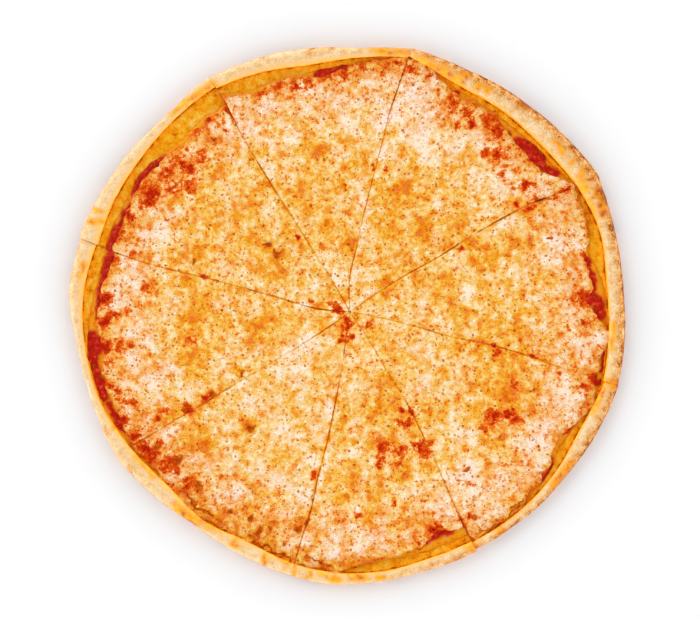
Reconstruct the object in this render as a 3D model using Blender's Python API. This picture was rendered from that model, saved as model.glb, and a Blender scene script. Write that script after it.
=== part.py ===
"""A whole thin-crust cheese pizza, 18 inches across, cut into eight slices that still lie together.

Each slice has three layers, each a solid of its own: the crust of baked dough with its rolled rim,
the tomato sauce spread on it, and the melted cheese on top. Metres, +Z up, resting on Z = 0.
Headings are in degrees, anticlockwise from +X as the pizza is seen from above.
"""

import math
from collections import namedtuple

import bmesh
import bpy
from mathutils import Vector, noise

MM = 0.001

# The point where the knife cuts cross, a little off the middle of the uneven outline.
CUTS_CROSS = Vector((2.3 * MM, 3.4 * MM, 0.0))
CUT_WIDTH = 0.8 * MM
TIP_RADIUS = 2.2 * MM

# Heights of the dough: under the toppings, at the sauce's edge and on the bare strip by the rim.
DOUGH_THICKNESS = 3.5 * MM
EDGE_HEIGHT = 3.9 * MM
STRIP_HEIGHT = 4.6 * MM

# The toppings. The layers keep a hairline apart, as separate solids.
SAUCE_THICKNESS = 0.9 * MM
CHEESE_THICKNESS = 2.3 * MM
CHEESE_EDGE_THICKNESS = 1.0 * MM
CHEESE_TAPER = 3.0 * MM
LAYER_GAP = 0.3 * MM

# The undersides of the sauce and of the cheese, each a hairline over the layer below.
SAUCE_FLOOR = DOUGH_THICKNESS + LAYER_GAP
CHEESE_FLOOR = SAUCE_FLOOR + SAUCE_THICKNESS + LAYER_GAP

# A wide stretch of rim has puffed up higher than a narrow one.
LOWEST_RIM = 9.0 * MM
RIM_RISE_PER_WIDTH = 0.3

# The melted cheese is uneven: broad swells with smaller lumps on them.
SWELL_SIZE = 45.0 * MM
SWELL_HEIGHT = 0.45 * MM
LUMP_SIZE = 14.0 * MM
LUMP_HEIGHT = 0.35 * MM
RIM_BUBBLE_SIZE = 26.0 * MM
RIM_BUBBLE_HEIGHT = 0.7 * MM

# The plain slice that each layer is spun as, before it is stretched to its own outline. Only what
# lies beyond the even radius is stretched.
BLANK_ANGLE = math.radians(45.0)
EVEN_RADIUS = 150.0 * MM
BLANK_CHEESE_EDGE = 200.0 * MM
BLANK_SAUCE_EDGE = 206.0 * MM
BLANK_CREASE = 212.0 * MM
BLANK_OUTSIDE = 224.0 * MM
BLANK_RIM_HEIGHT = 13.0 * MM

# How finely each layer is divided, round the slice and from its tip to the cheese's edge.
CRUST_STEPS, CRUST_RINGS = 12, 7
SAUCE_STEPS, SAUCE_RINGS = 12, 5
CHEESE_STEPS, CHEESE_RINGS = 18, 18

# How a cut's swing fades on its way out to the rim.
SWING_FADE = 1.5

# One slice, from its first cut on round to the next. Each outline has five radii in millimetres,
# evenly spaced from cut to cut: the outside of the crust, the crease where the rim's roll meets
# the flat dough, the edge of the cheese, and the edge of the sauce under it.
# The heading is where the first cut crosses the rim, and the swing is how far that cut has turned
# by the time it reaches the middle, both in degrees.
Slice = namedtuple("Slice", "heading swing outside crease cheese sauce")
SLICES = [
    Slice(
        heading=28.9,
        swing=6.0,
        outside=(237.0, 232.0, 228.0, 225.5, 226.5),
        crease=(217.0, 212.0, 211.0, 210.5, 219.5),
        cheese=(215.5, 197.5, 202.0, 206.0, 218.0),
        sauce=(216.2, 209.5, 206.0, 208.5, 218.8),
    ),
    Slice(
        heading=77.0,
        swing=10.5,
        outside=(226.0, 221.5, 223.5, 226.0, 228.5),
        crease=(218.5, 213.0, 209.5, 213.5, 218.0),
        cheese=(217.0, 205.0, 202.0, 199.5, 213.0),
        sauce=(217.8, 210.5, 206.0, 203.5, 214.5),
    ),
    Slice(
        heading=121.0,
        swing=-0.5,
        outside=(229.0, 225.5, 228.0, 231.0, 235.5),
        crease=(219.5, 218.0, 217.0, 218.0, 218.0),
        cheese=(208.5, 197.5, 200.0, 204.5, 206.0),
        sauce=(209.5, 201.0, 207.0, 209.5, 213.0),
    ),
    Slice(
        heading=165.0,
        swing=6.8,
        outside=(233.5, 235.5, 229.5, 228.5, 230.0),
        crease=(219.5, 223.5, 223.5, 222.0, 216.0),
        cheese=(201.0, 208.0, 209.5, 214.5, 214.5),
        sauce=(209.5, 214.5, 222.0, 220.5, 215.3),
    ),
    Slice(
        heading=211.5,
        swing=3.6,
        outside=(230.0, 225.0, 221.0, 223.0, 226.0),
        crease=(216.0, 210.5, 213.0, 210.5, 216.0),
        cheese=(211.0, 207.0, 211.0, 208.5, 214.5),
        sauce=(215.3, 209.5, 212.3, 209.8, 215.3),
    ),
    Slice(
        heading=257.8,
        swing=4.6,
        outside=(226.0, 228.5, 226.5, 226.0, 227.0),
        crease=(216.0, 218.5, 218.5, 216.5, 217.0),
        cheese=(211.0, 217.0, 208.0, 203.5, 209.5),
        sauce=(213.0, 217.8, 210.5, 206.0, 216.0),
    ),
    Slice(
        heading=298.3,
        swing=5.0,
        outside=(225.0, 226.0, 227.5, 229.5, 233.5),
        crease=(218.0, 218.5, 218.0, 216.0, 220.5),
        cheese=(215.5, 216.0, 212.0, 208.5, 218.0),
        sauce=(217.0, 217.7, 215.5, 214.5, 219.5),
    ),
    Slice(
        heading=344.7,
        swing=5.6,
        outside=(233.0, 231.0, 230.0, 232.0, 237.0),
        crease=(219.5, 217.0, 216.0, 219.5, 217.0),
        cheese=(217.0, 212.0, 201.0, 208.0, 215.5),
        sauce=(218.0, 216.0, 208.0, 209.5, 216.2),
    ),
]

CRUST_COLOUR = (0.84, 0.56, 0.24, 1.0)
SAUCE_COLOUR = (0.52, 0.03, 0.01, 1.0)
CHEESE_COLOUR = (0.93, 0.62, 0.20, 1.0)


def clear_scene():
    """Start from an empty scene."""
    for obj in list(bpy.data.objects):
        bpy.data.objects.remove(obj, do_unlink=True)


def make_material(name, colour, roughness):
    """A plain, non-metallic food surface."""
    material = bpy.data.materials.new(name)
    material.use_nodes = True
    shader = material.node_tree.nodes["Principled BSDF"]
    shader.inputs["Base Color"].default_value = colour
    shader.inputs["Roughness"].default_value = roughness
    shader.inputs["Metallic"].default_value = 0.0
    return material


def smooth_through(values, share):
    """The value at a share from 0 to 1 along evenly spaced values, on one smooth curve."""
    spans = len(values) - 1
    place = min(max(share, 0.0), 1.0) * spans
    first = min(int(place), spans - 1)
    here, after = values[first], values[first + 1]
    before = values[first - 1] if first > 0 else 2.0 * here - after
    beyond = values[first + 2] if first + 2 <= spans else 2.0 * after - here
    x = place - first
    slope_here, slope_after = (after - before) / 2.0, (beyond - here) / 2.0
    step = x * x * (3.0 - 2.0 * x)
    swing = x * (1.0 - x) * ((1.0 - x) * slope_here - x * slope_after)
    return here + (after - here) * step + swing


def cut_heading(number, radius):
    """Where a cut lies at this distance from the middle. Each one swings a little as it is rolled."""
    turns, index = divmod(number, len(SLICES))
    cut = SLICES[index]
    way_in = max(1.0 - radius / (cut.outside[0] * MM), 0.0)
    return math.radians(cut.heading + 360.0 * turns + cut.swing * way_in**SWING_FADE)


def stretched_radius(cut, share, blank_radius):
    """The distance from the middle that a point of the blank has on the real slice."""
    real = [
        TIP_RADIUS,
        EVEN_RADIUS,
        smooth_through(cut.cheese, share) * MM,
        smooth_through(cut.sauce, share) * MM,
        smooth_through(cut.crease, share) * MM,
        smooth_through(cut.outside, share) * MM,
    ]
    blank = [
        TIP_RADIUS,
        EVEN_RADIUS,
        BLANK_CHEESE_EDGE,
        BLANK_SAUCE_EDGE,
        BLANK_CREASE,
        BLANK_OUTSIDE,
    ]
    zone = 0
    while zone < len(blank) - 2 and blank_radius > blank[zone + 1]:
        zone += 1
    across = (blank_radius - blank[zone]) / (blank[zone + 1] - blank[zone])
    return real[zone] + (real[zone + 1] - real[zone]) * across


def rim_height(cut, share):
    """How high the rim has puffed up at this share of the way across the slice."""
    width = (smooth_through(cut.outside, share) - smooth_through(cut.crease, share)) * MM
    return LOWEST_RIM + RIM_RISE_PER_WIDTH * width


def bump(point, size, seed):
    """Smooth noise from -1 to 1 with bumps of this size."""
    return noise.noise(Vector((point.x / size, point.y / size, seed)))


def stretch_to_slice(mesh, number, shape_height):
    """Move a blank's points to the slice's own cuts and outline, then set their heights."""
    cut = SLICES[number]
    for vertex in mesh.verts:
        blank_radius = vertex.co.xy.length
        share = math.atan2(vertex.co.y, vertex.co.x) / BLANK_ANGLE
        radius = stretched_radius(cut, share, blank_radius)
        half_cut = math.asin(CUT_WIDTH / 2.0 / radius)
        first = cut_heading(number, radius) + half_cut
        last = cut_heading(number + 1, radius) - half_cut
        heading = first + (last - first) * share
        place = Vector((math.cos(heading), math.sin(heading), 0.0)) * radius + CUTS_CROSS
        place.z = shape_height(vertex.co.z, blank_radius, share, cut, place)
        vertex.co = place


def spun_blank(section, steps):
    """A section's faces, each a list of (radius, height) corners, turned through one plain slice."""
    mesh = bmesh.new()
    for corners in section:
        mesh.faces.new([mesh.verts.new((radius, 0.0, height)) for radius, height in corners])
    bmesh.ops.remove_doubles(mesh, verts=mesh.verts, dist=0.01 * MM)
    bmesh.ops.spin(
        mesh,
        geom=[*mesh.verts, *mesh.edges, *mesh.faces],
        cent=(0.0, 0.0, 0.0),
        axis=(0.0, 0.0, 1.0),
        angle=BLANK_ANGLE,
        steps=steps,
    )
    bmesh.ops.recalc_face_normals(mesh, faces=mesh.faces)
    # On so thin a wedge the faces can all come out turned inwards, which the volume's sign shows.
    if mesh.calc_volume(signed=True) < 0.0:
        bmesh.ops.reverse_faces(mesh, faces=mesh.faces)
    return mesh


def add_layer(name, mesh, material, collection):
    """Put a finished layer in the collection as an object of its own."""
    bmesh.ops.triangulate(mesh, faces=mesh.faces)
    data = bpy.data.meshes.new(name)
    mesh.to_mesh(data)
    mesh.free()
    data.materials.append(material)
    data.shade_smooth()
    data.set_sharp_from_angle(angle=math.radians(50.0))
    layer = bpy.data.objects.new(name, data)
    collection.objects.link(layer)
    return layer


def stations(count, edge):
    """Evenly spaced radii from the tip out to the edge, both ends included."""
    return [TIP_RADIUS + (edge - TIP_RADIUS) * i / (count - 1) for i in range(count)]


def upright_quads(top, low):
    """One face for each stretch between two stations, from the low points up to the top ones."""
    pairs = list(zip(top, low))
    return [[lo, hi, next_hi, next_lo] for (hi, lo), (next_hi, next_lo) in zip(pairs, pairs[1:])]


def crust_section():
    """The dough from the tip to the rim: flat below, thin in the middle, rolled up outside."""
    rim_width = BLANK_OUTSIDE - BLANK_CREASE
    # The roll, as shares of the rim's width outwards and of its height upwards. It leans in
    # a little over the crease.
    roll = [
        (0.04, 0.52),
        (0.00, 0.68),
        (0.10, 0.85),
        (0.30, 0.98),
        (0.52, 1.00),
        (0.75, 0.90),
        (0.93, 0.68),
        (1.00, 0.44),
        (0.96, 0.20),
        (0.82, 0.04),
        (0.60, 0.00),
    ]
    top = [(radius, DOUGH_THICKNESS) for radius in stations(CRUST_RINGS, BLANK_CHEESE_EDGE)]
    top.append((BLANK_SAUCE_EDGE, EDGE_HEIGHT))
    top.append((BLANK_CREASE + 0.08 * rim_width, STRIP_HEIGHT))
    low = [(radius, 0.0) for radius, height in top]
    rim = [(BLANK_CREASE + out * rim_width, up * BLANK_RIM_HEIGHT) for out, up in roll]
    return upright_quads(top, low) + [[low[-1], top[-1]] + rim]


def crust_height(height, blank_radius, share, cut, place):
    """Scale what stands above the strip to the rim's own height, with bubbles on its top."""
    if height <= STRIP_HEIGHT or blank_radius < BLANK_CREASE - 0.5 * MM:
        return height
    rise = (height - STRIP_HEIGHT) / (BLANK_RIM_HEIGHT - STRIP_HEIGHT)
    top = rim_height(cut, share) + RIM_BUBBLE_HEIGHT * bump(place, RIM_BUBBLE_SIZE, 3.0)
    return STRIP_HEIGHT + rise * (top - STRIP_HEIGHT)


def sauce_section():
    """A thin even spread that thins out at its edge."""
    inside = stations(SAUCE_RINGS, BLANK_CHEESE_EDGE)
    top = [(radius, SAUCE_FLOOR + SAUCE_THICKNESS) for radius in inside + [BLANK_SAUCE_EDGE]]
    low = [(radius, SAUCE_FLOOR) for radius in inside]
    low.append((BLANK_SAUCE_EDGE, EDGE_HEIGHT + LAYER_GAP))
    return upright_quads(top, low)


def cheese_section():
    """The cheese lies on the sauce and thins towards its edge."""
    inside = stations(CHEESE_RINGS, BLANK_CHEESE_EDGE)[:-1]
    top = [(radius, CHEESE_FLOOR + CHEESE_THICKNESS) for radius in inside]
    top.append((BLANK_CHEESE_EDGE - CHEESE_TAPER, CHEESE_FLOOR + CHEESE_THICKNESS * 0.8))
    top.append((BLANK_CHEESE_EDGE, CHEESE_FLOOR + CHEESE_EDGE_THICKNESS))
    low = [(radius, CHEESE_FLOOR) for radius, height in top]
    return upright_quads(top, low)


def cheese_height(height, blank_radius, share, cut, place):
    """Raise swells and lumps on the top of the cheese. Its underside stays flat on the sauce."""
    above = (height - CHEESE_FLOOR) / CHEESE_THICKNESS
    swell = SWELL_HEIGHT * bump(place, SWELL_SIZE, 7.0)
    lump = LUMP_HEIGHT * bump(place, LUMP_SIZE, 11.0)
    return height + above * (swell + lump)


def flat_height(height, blank_radius, share, cut, place):
    """Leave the heights as they were spun."""
    return height


def main():
    clear_scene()
    pizza = bpy.data.collections.new("cheese_pizza")
    bpy.context.scene.collection.children.link(pizza)
    crust = make_material("baked_dough", CRUST_COLOUR, 0.75)
    sauce = make_material("tomato_sauce", SAUCE_COLOUR, 0.35)
    cheese = make_material("melted_cheese", CHEESE_COLOUR, 0.45)
    layers = [
        ("crust", crust_section(), CRUST_STEPS, crust, crust_height),
        ("sauce", sauce_section(), SAUCE_STEPS, sauce, flat_height),
        ("cheese", cheese_section(), CHEESE_STEPS, cheese, cheese_height),
    ]
    for number in range(len(SLICES)):
        for layer, section, steps, material, shape_height in layers:
            mesh = spun_blank(section, steps)
            stretch_to_slice(mesh, number, shape_height)
            add_layer(f"{layer}_{number + 1}", mesh, material, pizza)


main()
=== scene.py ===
# %% [markdown]
# # A whole cheese pizza, baked and cut
#
# This lesson dresses the plain solids of an eighteen inch pie, cut into eight slices that still lie
# together. Each slice is built from the table up, as it was made: a crust of baked dough with a
# rolled rim, the tomato sauce that was spread on it, and the cheese that melted over the sauce.
#
# The plain solids are loaded first, before anything is added.

# %% Load the plain solids
import math
from collections import namedtuple

import bmesh
import bpy
import numpy as np
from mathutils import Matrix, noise


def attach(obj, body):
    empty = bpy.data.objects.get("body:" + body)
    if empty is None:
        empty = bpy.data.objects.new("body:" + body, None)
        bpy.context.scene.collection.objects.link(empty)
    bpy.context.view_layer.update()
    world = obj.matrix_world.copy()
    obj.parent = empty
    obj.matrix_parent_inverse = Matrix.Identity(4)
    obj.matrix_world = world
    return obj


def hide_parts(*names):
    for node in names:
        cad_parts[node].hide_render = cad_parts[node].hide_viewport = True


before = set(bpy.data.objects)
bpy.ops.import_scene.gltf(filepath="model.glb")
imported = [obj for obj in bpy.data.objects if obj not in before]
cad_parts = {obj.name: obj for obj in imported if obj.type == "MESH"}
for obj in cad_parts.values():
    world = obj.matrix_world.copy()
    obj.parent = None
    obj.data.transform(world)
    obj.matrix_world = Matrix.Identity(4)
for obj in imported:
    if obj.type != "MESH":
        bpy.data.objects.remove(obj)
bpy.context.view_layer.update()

# %% [markdown]
# ## The slices' outlines
#
# A pizza isn't round: every slice has its own rim, crease and ragged edge of cheese. Each outline
# is a few radii, evenly spaced from one cut to the next, joined by a smooth curve. Headings are in
# degrees, anticlockwise from +X as seen from above, and radii in millimetres from the point where
# the cuts cross. The heading is where the slice's first cut meets the rim, and the swing is how
# far that cut has turned by the time it reaches the middle. The wander is how far, in millimetres,
# the cutter strayed anticlockwise at even steps from the middle to the rim.

# %% Sizes and outlines
MM = 0.001
CUTS_CROSS = np.array([2.3 * MM, 3.4 * MM])
TIP_RADIUS = 0.4 * MM
DOUGH_THICKNESS = 3.5 * MM
EDGE_HEIGHT = 3.9 * MM
STRIP_HEIGHT = 4.6 * MM
SAUCE_THICKNESS = 0.9 * MM
CHEESE_THICKNESS = 2.3 * MM
LAYER_GAP = 0.3 * MM
SAUCE_FLOOR = DOUGH_THICKNESS + LAYER_GAP
CHEESE_FLOOR = SAUCE_FLOOR + SAUCE_THICKNESS + LAYER_GAP

Slice = namedtuple("Slice", "heading swing wander outside crease cheese sauce")
SLICES = [
    Slice(
        heading=28.9, swing=6, wander=(0, 0.5, 0.5, 0, 2.1, 3.4, 3.8, 0.4, 0),
        outside=(237, 232, 228, 225.5, 226.5), crease=(217, 212, 211, 210.5, 219.5),
        cheese=(216, 202, 197, 199.5, 204, 204, 203, 215.5, 219.5),
        sauce=(216.5, 211, 209, 206.5, 206.5, 206.5, 208, 216.5, 219.6),
    ),
    Slice(
        heading=77, swing=10.5, wander=(0, 2.5, 0, -0.6, -0.8, -0.4, 1.3, 0.8, 0),
        outside=(226, 221.5, 223.5, 226, 228.5), crease=(218.5, 213, 209.5, 213.5, 218),
        cheese=(219.5, 213.5, 209.5, 200, 199.5, 202.5, 202.2, 201.5, 212.3),
        sauce=(219.4, 215, 209.4, 206.1, 204.4, 203.6, 203.6, 204.4, 213.6),
    ),
    Slice(
        heading=121, swing=-0.5, wander=(0, -0.6, 0.2, 0.8, 1.7, 1.9, 1.6, -0.3, -0.4),
        outside=(229, 225.5, 228, 231, 235.5), crease=(219.5, 218, 217, 218, 218),
        cheese=(200, 202.5, 200, 199, 204, 205, 206, 204.3, 205.5),
        sauce=(202.5, 204, 202, 203, 208, 210.5, 209.5, 211.5, 212),
    ),
    Slice(
        heading=165, swing=6.8, wander=(0, 1.7, -0.6, -1.5, -1.3, 0.3, 2.1, 1.3, -1.3),
        outside=(233.5, 235.5, 229.5, 228.5, 230), crease=(219.5, 223.5, 223.5, 222, 216),
        cheese=(203, 206.4, 208.5, 213, 210, 212, 213, 212.5, 214.5),
        sauce=(211, 212, 216, 219.5, 223, 222.5, 221.5, 219, 215.8),
    ),
    Slice(
        heading=211.5, swing=3.6, wander=(0, 0.3, -0.3, -0.8, -1.3, -0.7, -0.7, 0, -1.3),
        outside=(230, 225, 221, 223, 226), crease=(216, 210.5, 213, 210.5, 216),
        cheese=(214.5, 210.8, 211.5, 213.5, 212.5, 211.5, 211.5, 213.5, 216.5),
        sauce=(215.5, 211, 211.5, 213, 212.6, 211.2, 210.5, 213, 215.5),
    ),
    Slice(
        heading=257.8, swing=4.6, wander=(0, 0, 0.6, 0.8, 1.2, 0.5, 1.3, -0.4, -1.3),
        outside=(226, 228.5, 226.5, 226, 227), crease=(216, 218.5, 218.5, 216.5, 217),
        cheese=(216, 217.5, 217.5, 212.5, 209, 208, 204, 198, 207),
        sauce=(214.5, 218, 218, 213, 209.4, 210.3, 211, 210.3, 212),
    ),
    Slice(
        heading=298.3, swing=5, wander=(0, 0.8, 0.6, 2.1, 1.8, 1, -0.4, -1.3, -1.3),
        outside=(225, 226, 227.5, 229.5, 233.5), crease=(218, 218.5, 218, 216, 220.5),
        cheese=(218, 219, 219, 214, 211.5, 205, 209.5, 216.8, 214),
        sauce=(218, 218.4, 218.2, 216, 214.5, 209, 211.5, 216.5, 219.5),
    ),
    Slice(
        heading=344.7, swing=5.6, wander=(0, 0, -1, -1.8, 0.3, 1, 0, 0.3, -0.4),
        outside=(233, 231, 230, 232, 237), crease=(219.5, 217, 216, 219.5, 217),
        cheese=(213.5, 213.5, 216.5, 199.5, 204.5, 202.5, 208.5, 213.5, 214),
        sauce=(218.6, 216.8, 216.4, 215.3, 214, 206.9, 208.6, 214.5, 216.1),
    ),
]


def smooth_through(values, share):
    """Values at shares from 0 to 1 along evenly spaced ones, on one smooth curve."""
    values = np.asarray(values, dtype=float)
    padded = np.concatenate(([2 * values[0] - values[1]], values, [2 * values[-1] - values[-2]]))
    spans = len(values) - 1
    place = np.clip(share, 0, 1) * spans
    first = np.minimum(place.astype(int), spans - 1)
    before, here, after, beyond = (padded[first + i] for i in range(4))
    x = place - first
    step = x * x * (3 - 2 * x)
    swing = x * (1 - x) * ((1 - x) * (after - before) / 2 - x * (beyond - here) / 2)
    return here + (after - here) * step + swing


def cut_heading(number, radius):
    """The heading of a cut, in radians, at each distance from the middle."""
    turns, index = divmod(number, len(SLICES))
    cut = SLICES[index]
    way_out = np.minimum(radius / (cut.outside[0] * MM), 1)
    straight = np.radians(cut.heading + 360 * turns + cut.swing * (1 - way_out) ** 1.5)
    return straight + smooth_through(cut.wander, way_out) * MM / radius


def smooth_step(low, high, value):
    """0 below low, 1 above high, and an even ramp with soft ends between them."""
    x = np.clip((value - low) / (high - low), 0, 1)
    return x * x * (3 - 2 * x)


print("slices:", len(SLICES))

# %% [markdown]
# ## Natural unevenness
#
# Nothing on a pizza repeats, so almost every surface here is moved by smooth noise. Blender's own
# noise is read at each point. One number gives the size of the bumps, in metres, and another picks
# a different pattern of them. The result runs from about -1 to 1.

# %% Noise and patches
# A number that's nearly nothing, so that a spot can be a line of no length.
TINY = 1e-12


def bumps(xy, size, seed):
    """Smooth noise at every point, with bumps of this size in metres."""
    return np.array([noise.noise((x, y, seed)) for x, y in xy / size])


def layered(xy, *layers):
    """Bumps on bumps: each layer is a height and a size, both in millimetres, and a seed."""
    return sum(height * MM * bumps(xy, size * MM, seed) for height, size, seed in layers)


def towards(heading):
    """The direction of a heading in degrees."""
    angle = math.radians(heading)
    return np.array([math.cos(angle), math.sin(angle)])


def polar_place(heading, radius):
    """The point at this heading, in degrees, and this distance in millimetres from the middle."""
    return CUTS_CROSS + radius * MM * towards(heading)


def patches(xy, marks):
    """How strongly each point lies in any of the marks, from 0 to 1.

    Marks are listed by their size in millimetres: a spot as its heading and its distance from the
    middle, and a line as the same for both its ends, with half its width for its size.
    """
    inside = np.zeros(len(xy))
    for size, *ends in ((size, *mark) for size in marks for mark in marks[size]):
        start = polar_place(*ends[:2])
        along = polar_place(*ends[-2:]) - start
        path = xy - start
        share = np.clip(path @ along / max(along @ along, TINY), 0, 1)
        away = np.linalg.norm(path - share[:, None] * along, axis=1)
        inside = np.maximum(inside, np.exp(-((away / (size * MM)) ** 2)))
    return inside


def shuffled(xy, size, reach, seed):
    """The points moved about by up to this reach, to give marks ragged outlines."""
    return xy + reach * np.column_stack([bumps(xy, size, seed), bumps(xy, size, seed + 0.5)])


# %% [markdown]
# ## The sheet that cheese and sauce start from
#
# A slice of cheese is a wedge, and a plain triangle is the wedge's simplest form. Subdividing it
# with grid fill gives rows of equal small triangles from the tip to the rim, so the detail is as
# fine at the tip as at the rim. The rows then bend to the slice's two cuts and its ragged edge. The
# sheet's border is extruded down, and one flat face closes it below.

# %% Wedge sheet
# Where a cut stands open: its number, the distance from the middle, and the gap's length and half
# width, in millimetres.
OPENINGS = [(0, 140, 20, 0.1), (0, 185, 5, 0.7), (3, 216, 6, 0.2)]
SHUT_CUT = 0.03 * MM


def wedge_sheet(cuts):
    """A triangle, tip at the origin and far edge from (1, 0) to (1, 1), divided into small ones."""
    mesh = bmesh.new()
    corners = [mesh.verts.new(corner) for corner in ((0, 0, 0), (1, 0, 0), (1, 1, 0))]
    mesh.faces.new(corners)
    bmesh.ops.subdivide_edges(mesh, edges=mesh.edges, cuts=cuts, use_grid_fill=True)
    return mesh


def close_below(mesh, floor):
    """Extrude the sheet's border down to a flat underside and close it."""
    border = [edge for edge in mesh.edges if edge.is_boundary]
    made = bmesh.ops.extrude_edge_only(mesh, edges=border)["geom"]
    for vertex in made:
        if isinstance(vertex, bmesh.types.BMVert):
            vertex.co.z = floor
    rim = [edge for edge in made if isinstance(edge, bmesh.types.BMEdge) and edge.is_boundary]
    bmesh.ops.contextual_create(mesh, geom=rim)
    bmesh.ops.recalc_face_normals(mesh, faces=mesh.faces)


def opening(number, radius):
    """Half the width of a cut at each distance from the middle: nearly shut but for a few gaps."""
    half_width = np.full(len(radius), SHUT_CUT)
    for cut, place, length, width in OPENINGS:
        if cut == number % len(SLICES):
            half_width += width * MM * np.exp(-(((radius - place * MM) / (length * MM)) ** 2))
    return half_width


def across_slice(number, radius, share):
    """How far each point is from a slice's two sides, and its direction from the middle."""
    first = cut_heading(number, radius) + opening(number, radius) / radius
    last = cut_heading(number + 1, radius) - opening(number + 1, radius) / radius
    heading = first + np.maximum(last - first, 0) * share
    way = np.column_stack([np.cos(heading), np.sin(heading)])
    return radius * (heading - first), radius * (last - heading), way


def sheet_places(mesh, number, edge_radii, *roughness):
    """Each point's radius, edge, distances to both cuts, raggedness, and x and y on a slice."""
    points = np.array([vertex.co[:] for vertex in mesh.verts])
    row = points[:, 0]
    share = np.divide(points[:, 1], row, out=np.full(len(row), 0.5), where=row > 1e-6)
    edge = smooth_through(edge_radii, share) * MM
    radius = TIP_RADIUS + (edge - TIP_RADIUS) * row
    to_first, to_last, way = across_slice(number, radius, share)
    ragged = layered(CUTS_CROSS + radius[:, None] * way, *roughness)
    radius = radius + ragged * smooth_step(0.9, 1, radius / edge)
    return radius, edge, to_first, to_last, ragged, CUTS_CROSS + radius[:, None] * way


def new_object(name, data):
    """An object in the scene that holds this data."""
    holder = bpy.data.objects.new(name, data)
    bpy.context.scene.collection.objects.link(holder)
    return holder


def move_points(mesh, xy, height):
    """Put every point of the mesh at its place."""
    for vertex, (x, y), z in zip(mesh.verts, xy, height):
        vertex.co = (x, y, z)


def add_piece(made, slot, number, mesh, material, attributes):
    """Make the object, give its points their attributes, and let it stand for its plain solid."""
    node = f"{slot}_{number + 1}"
    name = f"{made}_{node}"
    data = bpy.data.meshes.new(name)
    mesh.to_mesh(data)
    mesh.free()
    for label, values in attributes.items():
        layer = data.attributes.new(label, "FLOAT", "POINT")
        full = np.zeros(len(data.vertices))
        full[: len(values)] = values
        layer.data.foreach_set("value", full)
    data.materials.append(material)
    data.shade_smooth()
    piece = new_object(name, data)
    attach(piece, "root")
    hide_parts(node)
    return piece


def make_layer(name, make_piece):
    """Make this layer's piece on every slice."""
    pieces = [make_piece(number) for number in range(len(SLICES))]
    print(name, len(pieces), "faces each:", len(pieces[0].data.polygons))


# %% [markdown]
# ## Materials
#
# Each finish is a small tree of shader nodes. One helper adds a node with its settings and its
# inputs. Colours are written as sRGB hex values, as a paint program shows them, and turned to the
# linear values that the renderer works with.

# %% Helpers for materials
def hex_colour(text):
    """An sRGB hex value as a linear colour."""
    channels = [int(text[i : i + 2], 16) / 255 for i in (1, 3, 5)]
    linear = [c / 12.92 if c <= 0.04045 else ((c + 0.055) / 1.055) ** 2.4 for c in channels]
    return (*linear, 1)


def set_inputs(tree, node, inputs):
    """Set each of the node's inputs to a value, or link it to an output."""
    for name, value in inputs.items():
        if isinstance(value, bpy.types.NodeSocket):
            tree.links.new(value, node.inputs[name])
        else:
            node.inputs[name].default_value = value


def add_node(tree, kind, settings, inputs):
    """Add a node with its settings and its inputs."""
    node = tree.nodes.new(kind)
    for name, value in settings.items():
        setattr(node, name, value)
    set_inputs(tree, node, inputs)
    return node


def new_material(name):
    """A material with only its shader and its output, and the tree to build in."""
    material = bpy.data.materials.new(name)
    material.use_nodes = True
    return material, material.node_tree, material.node_tree.nodes["Principled BSDF"]


def colour_ramp(tree, factor, stops):
    """A ramp through (place, hex colour) stops."""
    ramp = add_node(tree, "ShaderNodeValToRGB", {}, {"Fac": factor})
    elements = ramp.color_ramp.elements
    while len(elements) < len(stops):
        elements.new(0.5)
    for element, (place, _) in zip(elements, stops):
        element.position = place
    for element, (_, colour) in zip(elements, stops):
        element.color = hex_colour(colour)
    return ramp.outputs["Color"]


def object_place(tree):
    """Each point's place in the object's own space."""
    return add_node(tree, "ShaderNodeTexCoord", {}, {}).outputs["Object"]


def grain(tree, size, detail):
    """Noise from 0 to 1, with grains of this size in metres."""
    inputs = {"Vector": object_place(tree), "Scale": 1 / size, "Detail": detail}
    inputs["Roughness"] = 0.55
    return add_node(tree, "ShaderNodeTexNoise", {}, inputs).outputs["Fac"]


def cells(tree, size):
    """Cells of this size in metres: the distance to each one's middle, and a shade of its own."""
    inputs = {"Vector": object_place(tree), "Scale": 1 / size}
    voronoi = add_node(tree, "ShaderNodeTexVoronoi", {}, inputs)
    return voronoi.outputs["Distance"], voronoi.outputs["Color"]


def attribute(tree, name):
    """A point attribute's value."""
    return add_node(tree, "ShaderNodeAttribute", {"attribute_name": name}, {}).outputs["Fac"]


def arithmetic(tree, operation, *numbers):
    """The result of a sum on two or three numbers or outputs."""
    inputs = dict(enumerate(numbers))
    return add_node(tree, "ShaderNodeMath", {"operation": operation}, inputs).outputs[0]


def plus(tree, start, *terms):
    """The start plus each term times its weight."""
    for term, weight in terms:
        start = arithmetic(tree, "MULTIPLY_ADD", term, weight, start)
    return start


def even_grain(tree, size, detail):
    """Grain that goes as far below 0 as above it."""
    return arithmetic(tree, "SUBTRACT", grain(tree, size, detail), 0.5)


def rescaled(tree, value, low, high, new_low, new_high):
    """The value moved from one range to another, and held inside it."""
    inputs = {"Value": value, "From Min": low, "From Max": high}
    inputs.update({"To Min": new_low, "To Max": new_high})
    return add_node(tree, "ShaderNodeMapRange", {}, inputs).outputs[0]


def bump(tree, height, strength, depth):
    """Relief too fine for the mesh, this deep in metres."""
    inputs = {"Height": height, "Strength": strength, "Distance": depth}
    return add_node(tree, "ShaderNodeBump", {}, inputs).outputs[0]


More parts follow.
